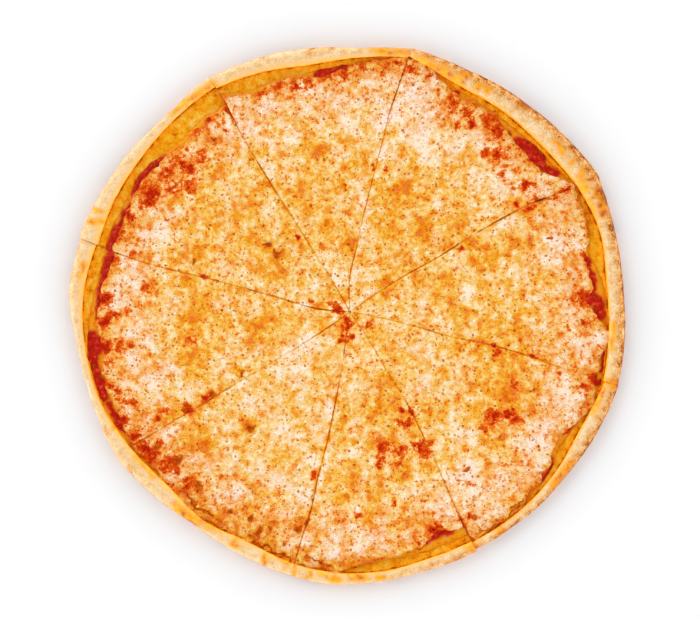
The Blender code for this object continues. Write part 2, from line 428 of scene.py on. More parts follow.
def mix_colours(tree, factor, first, second, blend="MIX"):
    """The first colour where the factor is 0 and the second, or their blend, where it is 1."""
    settings = {"data_type": "RGBA", "blend_type": blend, "clamp_factor": True}
    return add_node(tree, "ShaderNodeMix", settings, {0: factor, 6: first, 7: second}).outputs[2]


# %% [markdown]
# Melted mozzarella, baked until its oil comes out. One ramp runs from pale, where the cheese is
# dry, to gold and orange, where oil has pooled, and the oil attribute picks the place on it. A
# second ramp is the same for cheese that leans to pink. Where the cheese is thin the sauce shows
# red between the curds, and bubbles are burnt brown; the same brown is painted as shade in dark
# lines along some cuts, and the pale lips beside the cuts are painted highlights. Over it all lie
# small browned specks, one to a cell and ragged from the grain, and fine grain that only darkens.

# %% Cheese material
YELLOW_CHEESE = [
    (0, "#FEE8C8"), (0.12, "#FBDDAC"), (0.26, "#F9D391"), (0.4, "#F7C975"), (0.53, "#F5BC52"),
    (0.66, "#F2AB30"), (0.78, "#EF9A16"), (0.9, "#F2860A"), (1, "#E46E06"),
]
PINK_CHEESE = [
    (0, "#FDE3D0"), (0.16, "#FBD8BC"), (0.38, "#F9C8A0"), (0.52, "#F5B67E"), (0.66, "#F6A65A"),
    (0.78, "#F08A2C"), (0.9, "#E06A14"), (1, "#C44A08"),
]
SEEPING_SAUCE = [
    (0, "#FBBE7C"), (0.3, "#F2822A"), (0.55, "#E2580C"), (0.85, "#CA3208"), (1, "#B81E08"),
]
BURNT_CHEESE = [(0.2, "#9A2E06"), (0.4, "#B24206"), (0.6, "#C65A08"), (0.8, "#DE7A1A")]
SPECK_TINTS = [(0.1, "#BC7030"), (0.24, "#E2A96C"), (0.4, "#FFFFFF")]
# Sizes of the grain, the oily spots' cells and the specks' cells.
FINE_GRAIN = 1.2 * MM
SMALL_GRAIN = 3.4 * MM
PINK_GRAIN = 5 * MM
SPOT_CELLS = 10 * MM
SPECK_CELLS = 4.2 * MM


def make_cheese():
    material, tree, shader = new_material("melted_mozzarella")
    fine = even_grain(tree, FINE_GRAIN, 1.5)
    small = even_grain(tree, SMALL_GRAIN, 2)
    distance, shade = cells(tree, SPOT_CELLS)
    spot = rescaled(tree, plus(tree, distance, (small, 1)), 0.36, 0.12, 0, 1)
    spot = arithmetic(tree, "MULTIPLY", spot, shade)
    oil = plus(tree, attribute(tree, "oil"), (small, 0.7), (spot, 0.5), (fine, -0.3))
    pink = plus(tree, attribute(tree, "pink"), (grain(tree, PINK_GRAIN, 3), 1.8))
    yellow = colour_ramp(tree, oil, YELLOW_CHEESE)
    colour = mix_colours(tree, pink, yellow, colour_ramp(tree, oil, PINK_CHEESE))
    seep = plus(tree, attribute(tree, "seep"), (small, 1.7), (fine, -0.9), (spot, 0.12))
    showing = arithmetic(tree, "MULTIPLY", seep, 2.6)
    colour = mix_colours(tree, showing, colour, colour_ramp(tree, seep, SEEPING_SAUCE))
    # Burnt bubbles and specks, and the painted shade along the cuts, all take the roast colours.
    burnt = plus(tree, attribute(tree, "burnt"), (small, 1.6))
    roast = colour_ramp(tree, plus(tree, 0.5, (small, 1.5)), BURNT_CHEESE)
    colour = mix_colours(tree, burnt, colour, roast)
    paling = arithmetic(tree, "MINIMUM", plus(tree, 1, (fine, 1)), 1.03)
    colour = mix_colours(tree, 1, colour, paling, "MULTIPLY")
    distance, shade = cells(tree, SPECK_CELLS)
    pits = plus(tree, distance, (fine, 0.6), (small, 0.5), (shade, 0.25))
    specks = colour_ramp(tree, pits, SPECK_TINTS)
    inputs = {
        "Base Color": mix_colours(tree, 1, colour, specks, "MULTIPLY"),
        "Roughness": rescaled(tree, oil, 0, 1, 0.6, 0.35),
        "Specular IOR Level": 0.04,
        "Normal": bump(tree, fine, 0.6, 0.6 * MM),
    }
    set_inputs(tree, shader, inputs)
    return material


melted_mozzarella = make_cheese()
print("made", melted_mozzarella.name)

# %% [markdown]
# Tomato sauce, cooked until it is thick. Where it lies deep it is a wet red with darker pulp, and
# where it thins out it is orange with the cheese's oil. It shows only round the edge of the cheese.

# %% Sauce material
RED_SAUCE = [(0.3, "#8E0C0C"), (0.45, "#B81610"), (0.58, "#D02C18"), (0.72, "#EA643C")]
OILY_SAUCE = [(0.3, "#EE7C08"), (0.45, "#FB9E0E"), (0.58, "#FFB828"), (0.75, "#FFD064")]
PULP = 4 * MM


def make_sauce():
    material, tree, shader = new_material("cooked_tomato_sauce")
    pulp = grain(tree, PULP, 4)
    ragged = plus(tree, -1.1, (grain(tree, PULP, 3), 2.2))
    deep = arithmetic(tree, "ADD", attribute(tree, "deep"), ragged)
    oily = colour_ramp(tree, pulp, OILY_SAUCE)
    inputs = {
        "Base Color": mix_colours(tree, deep, oily, colour_ramp(tree, pulp, RED_SAUCE)),
        "Roughness": 0.3,
        "Specular IOR Level": 0.12,
        "Normal": bump(tree, grain(tree, 2.2 * MM, 3), 0.6, 0.6 * MM),
    }
    set_inputs(tree, shader, inputs)
    return material


tomato_sauce = make_sauce()
print("made", tomato_sauce.name)

# %% [markdown]
# Baked wheat dough. The rim is dry, pale and matt, toasted where it faced the oven's heat, and its
# outer edge is darkened as painted shade too, most on that side. The flat strip inside it has
# soaked up orange oil from the cheese and the sauce. Attributes on the mesh say where the oil, the
# toasting
# and the painted shade are: the crease's dark line is painted shade with some browning. Grain gives
# the flour and the small pores.

# %% Crust material
DRY_DOUGH = [
    (0, "#F5DCB8"), (0.2, "#EFCC9A"), (0.4, "#E5B274"), (0.6, "#D89448"), (0.8, "#B6661E"),
    (1, "#78380A"),
]
OILY_DOUGH = [
    (0, "#9C4A08"), (0.15, "#CC6606"), (0.33, "#F89608"), (0.5, "#FFB016"), (0.7, "#FFC840"),
    (1, "#FFE09A"),
]


def make_crust():
    material, tree, shader = new_material("baked_dough")
    broad = even_grain(tree, 6 * MM, 3)
    fine = even_grain(tree, 1.5 * MM, 3)
    oil = attribute(tree, "oil")
    # Toasting plus painted shade on the rim's outer edge, and browned blisters plus the crease's
    # painted shade, darken the dry dough.
    toast_and_shade = plus(tree, attribute(tree, "toast_and_shade"), (attribute(tree, "char_and_crease_shade"), 0.75))
    mottle = plus(tree, 0, (fine, 0.9), (broad, 1.2))
    uneven = plus(tree, 0.3, (toast_and_shade, 1.4))
    dry = colour_ramp(tree, plus(tree, toast_and_shade, (mottle, uneven)), DRY_DOUGH)
    oil_tone = plus(tree, 0.66, (fine, 0.4), (broad, 1.3), (toast_and_shade, -0.6))
    inputs = {
        "Base Color": mix_colours(tree, oil, dry, colour_ramp(tree, oil_tone, OILY_DOUGH)),
        "Roughness": rescaled(tree, oil, 0, 1, 0.75, 0.4),
        "Specular IOR Level": 0.1,
        "Normal": bump(tree, grain(tree, 1.4 * MM, 3), 0.5, 0.5 * MM),
    }
    set_inputs(tree, shader, inputs)
    return material


baked_dough = make_crust()
print("made", baked_dough.name)

# %% [markdown]
# ## The crust
#
# The dough is one section turned round the middle: flat below, thin under the toppings, and rolled
# up into the rim. The rim was pressed up by hand, so its roll leans in over the dough and leaves a
# dark crease. Spinning the section gives a plain slice, which is then bent to the slice's own cuts,
# crease and outline. The section is made of upright faces between an upper and a lower line of
# points, and one face for the roll.

# %% Crust section
BLANK_ANGLE = math.radians(45)
BLANK_EDGE = 200 * MM
BLANK_CREASE = 212 * MM
BLANK_OUTSIDE = 224 * MM
BLANK_RIM_HEIGHT = 13 * MM
CRUST_STEPS = 170


def smooth_line(points, between):
    """A list of points with some more put between each two, on a smooth curve."""
    places = np.linspace(0, 1, (len(points) - 1) * (between + 1) + 1)
    return list(zip(*(smooth_through([p[axis] for p in points], places) for axis in (0, 1))))


def crust_section():
    """The section's faces, each a list of (radius, height) corners."""
    rim_width = BLANK_OUTSIDE - BLANK_CREASE
    # The roll, from the depth of the crease over the top and down to the table, as shares of the
    # rim's width and height.
    roll = [
        (0.16, 0.355), (0.2, 0.4), (0.1, 0.47), (0, 0.58), (0, 0.72), (0.09, 0.87),
        (0.28, 0.97), (0.5, 1), (0.73, 0.92), (0.91, 0.71), (1, 0.45), (0.96, 0.2),
        (0.84, 0.05), (0.66, 0),
    ]
    rim = [(BLANK_CREASE + out * rim_width, up * BLANK_RIM_HEIGHT) for out, up in roll]
    under = [(TIP_RADIUS + (BLANK_EDGE - TIP_RADIUS) * i / 9, DOUGH_THICKNESS) for i in range(10)]
    strip = [
        (BLANK_EDGE + 3 * MM, DOUGH_THICKNESS + 0.15 * MM),
        (BLANK_EDGE + 6 * MM, EDGE_HEIGHT),
        (BLANK_EDGE + 9 * MM, EDGE_HEIGHT + 0.4 * MM),
        (BLANK_CREASE - 0.5 * MM, STRIP_HEIGHT - 0.1 * MM),
        (BLANK_CREASE + 0.09 * rim_width, STRIP_HEIGHT),
    ]
    top = under[:-1] + smooth_line([under[-1]] + strip, 2)
    pairs = [(hi, (hi[0], 0)) for hi in top]
    faces = [[lo, hi, far_hi, far_lo] for (hi, lo), (far_hi, far_lo) in zip(pairs, pairs[1:])]
    faces.append([pairs[-1][1], pairs[-1][0]] + smooth_line(rim, 3))
    return faces


def spin_section(section, steps):
    """Turn the section's faces through one plain slice."""
    mesh = bmesh.new()
    for corners in section:
        mesh.faces.new([mesh.verts.new((radius, 0, height)) for radius, height in corners])
    bmesh.ops.remove_doubles(mesh, verts=mesh.verts, dist=0.01 * MM)
    turned = [*mesh.verts, *mesh.edges, *mesh.faces]
    axis = (0, 0, 1)
    bmesh.ops.spin(mesh, geom=turned, cent=(0, 0, 0), axis=axis, angle=BLANK_ANGLE, steps=steps)
    bmesh.ops.recalc_face_normals(mesh, faces=mesh.faces)
    if mesh.calc_volume(signed=True) < 0:
        bmesh.ops.reverse_faces(mesh, faces=mesh.faces)
    return mesh


print("crust section faces:", len(crust_section()))

# %% [markdown]
# The rim's marks are placed one by one, listed by their size. Toasting is where the rim faced the
# heat, where its outer edge also gets painted shade; smears are where cheese or oil ran over it,
# and blisters are where a bubble browned. The dark line in the crease is painted shade.

# %% Marks on the rim
# The heading that faced the oven's heat, where the outer edge gets the most painted shade as well
# as toasting, and toasted patches away from it.
HOT_HEADING = 3
TOASTED = {
    4: [(66, 221), (94, 222), (109, 224), (172, 227), (206, 226), (260, 226), (305, 226)],
    5: [(50, 228), (73, 223), (216, 224)], 6: [(25, 232), (98, 221), (233, 222)], 7: [(17, 230)],
}
# Where no crease shade is painted, because the cheese runs up to the rim: heading and half width in
# degrees.
NO_CREASE = [(227, 40), (75.5, 9)]
# Golden smears of cheese and oil on the rim, as lines.
SMEARS = {
    2: [(34, 224, 34, 221), (60.3, 218, 60, 213), (261.3, 223, 261, 219), (314, 218, 306, 218)],
    2.4: [(251.2, 224, 251, 214)],
    2.5: [(25.7, 232, 25.3, 221), (40, 222, 37, 222), (158.2, 230, 158, 221),
        (172.5, 227, 170, 225), (358, 221, 352, 220)],
    2.6: [(305, 226, 304.6, 219)],
    3: [(24.5, 219, 21, 218), (31, 226, 30.5, 221), (129, 225, 128.6, 216),
        (132, 222, 127, 222.5), (160.6, 230, 160, 219), (206, 219, 202, 219),
        (220, 214, 214, 215), (265, 221, 262, 216), (267.5, 225, 266, 222), (277, 224, 276, 222),
        (297.6, 224, 296.7, 219), (343, 221, 338, 220), (345.6, 227, 344.3, 221)],
    3.5: [(243.4, 216, 243, 207), (256, 216, 252, 212), (326, 223, 320, 222)],
    4: [(28, 223, 27.5, 215), (69.5, 216, 64, 213), (75, 219, 70, 216), (80, 220, 77.5, 221),
        (127, 222, 121.5, 222), (270, 220, 269, 215), (272, 222, 270, 219)],
    5: [(84, 219, 81, 217), (233, 217, 228, 217), (239, 211, 233, 216)],
}
# Browned blisters and stripes on the rim, also as lines.
BLISTERS = {
    0.8: [(121, 222, 120.8, 215)], 0.9: [(257.9, 225, 257.7, 214)],
    1: [(28.9, 231, 29.5, 220), (157.9, 230, 158.1, 224), (161, 230.5, 160.8, 226)],
    1.2: [(60.3, 219, 60.1, 215), (261.3, 222.5, 261.1, 219), (344.8, 232, 344.2, 224)],
    1.3: [(160.2, 223, 160, 219.5)], 1.4: [(50.5, 228, 49, 227.8), (277, 224, 276, 223.2)],
    1.5: [(58.3, 217.6, 58.1, 217.4), (128.5, 226, 128.1, 225.3), (251.2, 224.5, 250.9, 215)],
    1.6: [(170.2, 225.7, 169.6, 225)], 1.7: [(83.5, 220, 83, 218), (243.9, 217, 243.2, 215.5)],
    1.8: [(64.3, 218.7, 64, 218.3), (304.9, 226, 304.5, 221)],
    1.9: [(21.3, 226, 21, 225), (267.3, 225, 266.5, 223)],
    2: [(25.6, 232, 25.4, 229), (298.5, 223, 298, 215)], 2.2: [(22.9, 227, 22.4, 226)],
    2.4: [(234, 221.5, 229, 219.5), (272.8, 221.5, 271.4, 219)],
}
# How toasted the dough is in general, and on the underside and the rim's foot.
PALE_TOAST = 0.21
DARK_TOAST = 0.75
# The half width in millimetres of the painted shade in the crease, and the height above which the
# rim hides none of it.
CREASE_HALF_WIDTH = 0.8
CREASE_TOP = 7 * MM


def crease_shade(xy, way, from_crease, height):
    """The crease's painted shade, with some browning: broken by noise, and gone where the cheese
    runs over it.
    """
    away = from_crease / MM + 0.6 * bumps(xy, 4 * MM, 27) + 0.1
    shade = np.exp(-((away / CREASE_HALF_WIDTH) ** 2)) * (height < CREASE_TOP)
    shade = shade * (0.75 + 0.8 * bumps(xy, 12 * MM, 29)).clip(0.1, 1)
    for middle, half_width in NO_CREASE:
        turned = np.degrees(np.arccos(np.clip(way @ towards(middle), -1, 1)))
        shade = shade * smooth_step(half_width - 3, half_width + 3, turned)
    return shade


def make_crust_piece(number):
    """The crust of one slice, bent from the plain one, with its marks."""
    cut = SLICES[number]
    mesh = spin_section(crust_section(), CRUST_STEPS)
    points = np.array([vertex.co[:] for vertex in mesh.verts])
    blank = np.hypot(points[:, 0], points[:, 1])
    share = np.arctan2(points[:, 1], points[:, 0]) / BLANK_ANGLE
    crease = smooth_through(cut.crease, share) * MM
    outside = smooth_through(cut.outside, share) * MM
    # The share of the way from the tip to the crease, and from the crease to the outside.
    flat = np.interp(blank, [TIP_RADIUS, BLANK_CREASE], [0, 1])
    across = (blank - BLANK_CREASE) / (BLANK_OUTSIDE - BLANK_CREASE)
    radius = np.where(
        blank <= BLANK_CREASE,
        TIP_RADIUS + (crease - TIP_RADIUS) * flat,
        crease + (outside - crease) * across,
    )
    _, _, way = across_slice(number, radius, share)
    xy = CUTS_CROSS + radius[:, None] * way
    rim = smooth_step(-0.1, 0.25, across)
    radius = radius + layered(xy, (0.7, 24, 21), (0.3, 8, 22)) * rim
    xy = CUTS_CROSS + radius[:, None] * way
    height = points[:, 2]
    rise = (height - STRIP_HEIGHT) / (BLANK_RIM_HEIGHT - STRIP_HEIGHT)
    top = 9 * MM + 0.3 * (outside - crease) + layered(xy, (0.7, 26, 3))
    on_roll = (across > -0.05) & (height > STRIP_HEIGHT)
    height = np.where(on_roll, STRIP_HEIGHT + rise * (top - STRIP_HEIGHT), height)
    below = points[:, 2] < 1 * MM
    height = height + layered(xy, (0.25, 9, 23), (0.12, 3.5, 24)) * ~below
    move_points(mesh, xy, height)
    # Where the marks are. The rim's parts run from its inner side to its outline.
    ragged = shuffled(xy, 7 * MM, 2.5 * MM, 25)
    hot = smooth_step(-0.2, 0.6, way @ towards(HOT_HEADING))
    strip = 1 - smooth_step(0, 0.1, across)
    inner = 1 - smooth_step(0.1, 0.45, across + 0.15 * bumps(xy, 12 * MM, 28))
    outer = smooth_step(0.3, 0.85, across)
    outline = smooth_step(0.88, 1, across)
    foot = (1 - smooth_step(5.5 * MM, 9 * MM, height)) * smooth_step(0.6, 0.75, across)
    blisters = patches(ragged, BLISTERS)
    halos = patches(ragged, {2.2 * size: lines for size, lines in BLISTERS.items()})
    smears = np.maximum(patches(ragged, SMEARS), halos)
    # Painted shade: the outline all round, and the outer half on the side that faced the heat, are
    # darkened along with the toasting.
    toast_and_shade = PALE_TOAST + 0.06 * hot + outline * (0.1 + 0.24 * hot) + 0.12 * smears
    toast_and_shade = toast_and_shade + outer * (0.05 + 0.3 * hot + 0.28 * patches(ragged, TOASTED))
    oil = np.maximum(np.maximum(strip, 0.9 * smears), 0.45 * inner * (1 - hot))
    # The crease's dark line is painted shade, with some browning, and goes in with the browned
    # blisters.
    shade = crease_shade(xy, way, radius - crease, height)
    attributes = {
        "oil": oil.clip(0, 1),
        "toast_and_shade": np.maximum(toast_and_shade, DARK_TOAST * np.maximum(foot, below)),
        "char_and_crease_shade": (shade + 0.25 * blisters).clip(0, 1),
    }
    return add_piece("baked", "crust", number, mesh, baked_dough, attributes)


make_layer("crusts:", make_crust_piece)

# %% [markdown]
# ## The sauce
#
# The sauce is a thin spread with pulp in it. Only its edge shows, round the cheese, where it lies
# in low glossy lumps.

# %% Sauce pieces
# Where the sauce is deep and red, as lines.
DEEP_SAUCE = {
    2: [(289, 203, 286.5, 205)],
    2.5: [(322, 214, 318, 212), (324, 209, 322, 213), (335, 213, 331, 206)],
    3: [(14, 203, 8.5, 204), (66, 204, 64, 203), (84, 205, 80, 209), (90, 206, 85, 208),
        (201, 216, 206, 214), (206, 213, 209, 211), (344.5, 222, 344, 212),
        (354, 217.5, 347, 217)],
    3.5: [(98, 201, 90, 205), (149, 208.5, 144, 207), (152, 203, 149, 208), (160, 207, 155, 205)],
    4: [(38, 202, 34, 206), (44, 205, 39, 206), (52, 198, 48, 197), (144, 206, 140, 199),
        (165, 208, 160, 207), (166, 206, 167.5, 203), (168, 208, 175, 208), (175, 209, 181, 210),
        (212, 210, 220, 206), (343, 211, 339, 206)],
    5: [(0, 210, 358, 204), (3, 206, 359.5, 211), (6.5, 203, 2, 198), (188, 212, 187, 210),
        (192, 219, 199, 218), (295, 199, 290, 199)],
    6: [(45, 200, 38, 203), (186, 217, 192, 219)],
}
SAUCE_CUTS = 100
# How wide the sauce's thinned edge is.
SAUCE_BEVEL = 2.5 * MM


def make_sauce_piece(number):
    """The sauce of one slice: low lumps that thin out at the edge."""
    mesh = wedge_sheet(SAUCE_CUTS)
    places = sheet_places(mesh, number, SLICES[number].sauce, (1.6, 8, 31), (0.9, 3, 32))
    radius, edge, _, _, _, xy = places
    lumps = 0.3 * MM + layered(xy, (0.45, 6, 33), (0.3, 2.5, 34))
    shown = smooth_step(185 * MM, 195 * MM, radius)
    deep = patches(shuffled(xy, 7 * MM, 3 * MM, 35), DEEP_SAUCE)
    top = SAUCE_FLOOR + SAUCE_THICKNESS + shown * (lumps + 0.5 * MM * deep)
    foot = EDGE_HEIGHT + LAYER_GAP
    height = foot + (top - foot) * smooth_step(0, SAUCE_BEVEL, edge - radius)
    move_points(mesh, xy, height)
    close_below(mesh, SAUCE_FLOOR)
    attributes = {"deep": 1.2 * smooth_step(0.1, 0.7, deep)}
    return add_piece("spread", "sauce", number, mesh, tomato_sauce, attributes)


make_layer("sauces:", make_sauce_piece)

# %% [markdown]
# ## The cheese
#
# Shredded mozzarella melts into one sheet, but the shreds stay visible as small curds with oil
# between them. The sheet's broad swells are those of the plain solid, and the curds are finer
# noise. The same noise feeds the oil attribute, so the hollows are the orange ones, as on real
# cheese. The larger marks are placed one by one, as on the rim. The pale lips beside the cuts are
# painted highlights, laid in as cream, and the dark lines along some cuts are painted shade.

# %% Marks on the cheese
# Pale cream, golden and orange cheese, and thin cheese that the sauce seeps through.
CREAM = {
    3: [(117, 202), (281, 208)], 4: [(30, 210), (34, 203), (42, 94), (119, 206), (255, 203)],
    5: [(17, 200), (137, 122), (150, 15), (174, 193), (211, 16), (321, 194), (322, 205),
        (330, 16), (348, 206)],
    6: [(1, 126), (6, 182), (27, 112), (82, 94), (135, 38), (151, 169), (185, 184), (262, 207),
        (287, 158), (323, 62), (343, 35), (347, 26), (354, 208)],
    7: [(7, 62), (7, 133), (40, 75), (52, 172), (74, 191), (103, 173), (116, 196), (177, 146),
        (192, 188), (208, 98), (238, 175), (257, 110), (273, 115), (304, 134), (321, 98),
        (350, 46)],
    8: [(71, 197), (88, 174), (94, 174), (100, 188), (108, 154), (112, 186), (189, 168),
        (228, 156), (232, 158), (238, 78), (258, 84), (259, 197), (264, 66), (272, 196),
        (275, 62), (275, 134), (275, 190), (316, 86), (330, 190), (331, 80), (352, 190)],
    9: [(15, 172), (82, 175), (85, 190), (124, 183), (171, 190), (173, 196), (221, 110),
        (239, 146), (248, 150), (304, 196), (309, 190), (340, 201)],
    10: [(8, 100), (62, 142), (76, 193), (90, 159), (120, 172), (205, 150), (215, 44), (240, 110),
        (252, 153)],
    11: [(18, 180), (176, 199)],
    12: [(58, 164), (67, 155), (68, 170), (74, 163), (80, 162), (200, 175), (223, 69), (304, 180),
        (306, 168), (324, 192), (339, 194)],
    13: [(40, 163), (266, 193), (312, 140)], 14: [(72, 180), (158, 172)],
}
GOLDEN = {
    6: [(270, 158), (296, 146)],
    7: [(45, 38), (173, 50), (223, 164), (266, 142), (287, 94), (305, 114)],
    8: [(30, 94), (48, 94), (54, 192), (63, 38), (95, 62), (100, 134), (104, 142), (106, 74),
        (156, 134), (185, 114), (262, 196)],
    9: [(0, 100), (50, 62), (98, 100), (243, 186), (267, 156), (320, 134), (331, 134), (355, 92)],
    10: [(20, 130), (122, 105), (277, 164), (350, 115)], 11: [(69, 108), (145, 104)],
    12: [(148, 88), (184, 131), (186, 75), (290, 105)], 13: [(18, 76)], 14: [(60, 76), (285, 92)],
    15: [(335, 148)],
}
ORANGE = {
    3: [(272, 110)],
    4: [(10, 160), (33, 126), (91, 123), (101, 137), (104, 78), (174, 140), (183, 142),
        (187, 126), (235, 82), (240, 168), (297, 87), (309, 107)],
    5: [(12, 112), (25, 112), (30, 168), (50, 105), (54, 94), (61, 90), (61, 112), (64, 134),
        (67, 134), (71, 110), (75, 114), (138, 154), (148, 174), (155, 34), (156, 134),
        (158, 134), (166, 174), (170, 140), (185, 134), (187, 62), (189, 142), (195, 130),
        (196, 136), (215, 140), (218, 158), (230, 126), (249, 189), (263, 207), (288, 80),
        (296, 146), (300, 60), (321, 61), (321, 132), (338, 163), (342, 94), (348, 94),
        (356, 126)],
    6: [(23, 152), (25, 126), (28, 182), (39, 119), (65, 114), (75, 104), (109, 192), (142, 158),
        (147, 172), (184, 131), (187, 78), (197, 140), (209, 142), (212, 135), (223, 164),
        (232, 201), (238, 204), (243, 196), (245, 200), (250, 206), (257, 209), (267, 156),
        (289, 142), (318, 154), (330, 160), (338, 168), (342, 112), (345, 114), (348, 148),
        (349, 134), (355, 134), (357, 142)],
    7: [(140, 87), (143, 75), (282, 182), (318, 164), (330, 134), (337, 158), (345, 122)],
    8: [(219, 174), (335, 147), (340, 140)],
}
SEEPS = {
    2: [(283, 165)], 2.5: [(68, 184), (128, 183), (189.5, 184)],
    3: [(37.2, 173), (42, 170), (60, 180), (72, 208), (153, 172), (209, 183), (272.6, 172),
        (277, 207), (287, 201)],
    4: [(14, 201), (44, 176), (50, 175), (57, 187), (63, 190), (79, 211), (82, 208), (126, 200),
        (130, 197), (135, 195), (161, 10), (165, 190), (167, 203), (173.7, 170), (199, 207),
        (202, 205), (208, 176), (214.6, 194), (224, 209), (294, 104), (302, 127), (343.5, 127),
        (352, 146)],
    5: [(31, 181), (35, 206), (87, 205), (92, 197), (92, 203), (95, 198), (153, 196), (157, 201),
        (162, 203), (181, 198), (183, 207), (190, 134), (202, 196), (203, 214), (206, 209),
        (211, 158), (212.5, 207), (229, 194), (256, 24), (258, 12), (288, 134), (290, 126),
        (319, 148), (327, 165), (357, 197)],
    6: [(36, 183), (64, 196), (104, 195), (108, 197), (112, 198), (134, 180), (143, 192),
        (189, 194), (197, 214), (220, 203), (222, 196), (227, 196), (282, 127), (296, 126),
        (328, 158)],
    7: [(3, 194), (51, 194), (54, 199), (59, 195), (100, 195), (138, 182), (139, 194), (146, 182),
        (151, 190), (177, 206), (188, 207), (216, 205), (220, 194), (284, 119), (291, 195),
        (336, 150)],
    8: [(47, 182), (142, 172), (149, 194), (297, 132)], 9: [(324, 149)],
}
# Where the sauce shows deep red.
REDS = {
    1.5: [(144.2, 167)], 2: [(318, 150)], 2.5: [(36, 184), (56.8, 187), (288, 121), (325.7, 154)],
    3: [(5, 195), (47, 182), (50, 196), (91, 203), (97, 196), (103, 193), (138.5, 188),
        (142.5, 196), (145, 182), (157, 204), (160, 204), (166.5, 202), (172, 206), (181, 197),
        (183, 207), (191, 214), (195, 213), (205.5, 211), (211, 159), (213, 205), (291, 195)],
    3.5: [(216.5, 206)],
    4: [(4, 198), (43.5, 197), (51, 193), (138, 182), (145, 203), (149, 195), (149, 203),
        (187.5, 210), (192, 207), (220, 194), (283, 117), (297.5, 129), (298, 127), (324, 146),
        (327, 156), (341, 208), (359.5, 203)],
    5: [(40, 200), (42, 205), (177, 206), (188, 206), (292, 197)], 6: [(182, 206)],
}
# Burnt bubbles, and the browned bands and folds at the edge, as lines.
BURNT = {
    0.6: [(303, 214, 299.5, 212), (313, 214, 308.5, 212.6)],
    0.7: [(307, 216.4, 300, 217), (311.5, 215.2, 305, 218.2), (315, 217.6, 310, 216.6)],
    1.1: [(256.7, 213, 251, 209), (265.4, 215, 259.9, 209)],
    1.2: [(231, 206, 227, 203), (238, 207, 231, 206), (251, 209, 245.8, 203)],
    1.4: [(298.4, 219, 298, 213)], 1.5: [(128.4, 183), (258.5, 179)], 1.6: [(273, 217, 271, 215)],
    2: [(19.9, 176.6), (209.5, 104), (239, 193.5), (247, 199), (254, 201), (306.9, 163),
        (338.1, 167)],
    2.5: [(161, 136), (210, 158), (211, 137), (249.5, 191.5), (256.4, 187), (301.7, 201)],
    3: [(215, 197), (229.5, 130)], 3.5: [(139, 88), (141, 78), (244.3, 192)], 4: [(220.7, 191)],
    5: [(228.7, 194)],
}
# Bands at the edge that are baked orange, as lines.
ORANGE_BANDS = {
    2.5: [(315, 217, 299, 218)],
    4: [(86, 209, 77, 214), (206, 214, 200, 214), (240, 202, 247, 198), (243.5, 212, 242.5, 205)],
    5: [(137, 200, 126, 203), (251, 210, 245, 202), (257, 215, 251, 210), (269, 215, 260, 209)],
    6: [(239, 209, 227, 207), (284, 212, 270, 214)],
}
# Marks beside the cuts, listed by the cut's number: the distance from the middle, half the mark's
# length, the distance anticlockwise of the cut, and half the mark's width.
ORANGE_BY_CUTS = {
    0: [(31, 5, -5, 3), (41, 9, 4, 4), (115, 8, -2, 8), (167, 4, 7, 6), (174, 9, -4, 4),
        (205, 12, 1, 2)],
    1: [(11, 6, 4, 3), (56, 5, 6, 7), (102, 2, 2, 2), (110, 4, -7, 6)],
    2: [(129, 5, 6, 3), (135, 22, 2, 2), (212, 8, 6, 5)],
    3: [(26, 10, -3, 2), (120, 2, 4, 5), (145, 14, 0, 1.5)],
    4: [(8, 4, -7, 6), (104, 6, -5, 5), (156, 9, -1, 4), (170, 11, -5, 4)],
    5: [(20, 9, -4, 4), (73, 5, 1, 3), (90, 8, 9, 4), (110, 30, 0, 1.5), (181, 9, -7, 5)],
    6: [(20, 6, 6, 3), (67, 16, -2, 4), (100, 8, 0, 3), (100, 10, -5, 5)],
    7: [(30, 12, 0, 2), (93, 7, 2, 4), (112, 14, 0, 3), (130, 16, -6, 6), (163, 10, 1, 3),
        (188, 2, 4, 3)],
}
RED_BY_CUTS = {
    0: [(108, 2.5, -4, 2.5), (166, 3, 4, 4), (174, 8, -3, 2.5), (195, 5, -2, 2), (208, 8, 1, 1.5)],
    1: [(3, 3, 8, 4), (123, 2.5, 2, 2), (124, 2, -9, 2), (209, 4, -5, 6)],
    2: [(10, 8, 7, 3), (76, 2.5, 5, 2.5), (183, 3, 9, 3), (198, 12, 1, 2)],
    3: [(10, 4, 1, 3), (16, 5, -5, 2.5), (33, 3, -5, 2.5), (126, 4, -1, 2), (203, 5, 5, 4)],
    4: [(6, 5, 5, 4), (8, 4, -6, 4), (139, 9, -3, 4), (157, 4, -4, 6), (193, 5, 9, 4),
        (207, 5, 8, 4), (208, 5, -6, 5)],
    5: [(12, 8, 0, 2.5), (21, 3, 5, 3), (23, 5, -4, 2), (140, 4, -4, 3), (178, 3, 1, 1.5),
        (187, 3, -5, 2.5)],
    6: [(7, 5, -6, 4), (92, 4, -7, 3), (98, 6, 0, 2), (105, 5, -7, 5), (129, 6, -3, 4),
        (199, 4, 8, 3), (205, 14, 0, 1.5)],
    7: [(3, 4, -7, 5), (19, 3, -8, 4), (123, 3, 1, 2), (158, 5, 1, 2), (183, 2, -5, 2),
        (207, 5, -9, 3), (214, 8, 0, 5)],
}
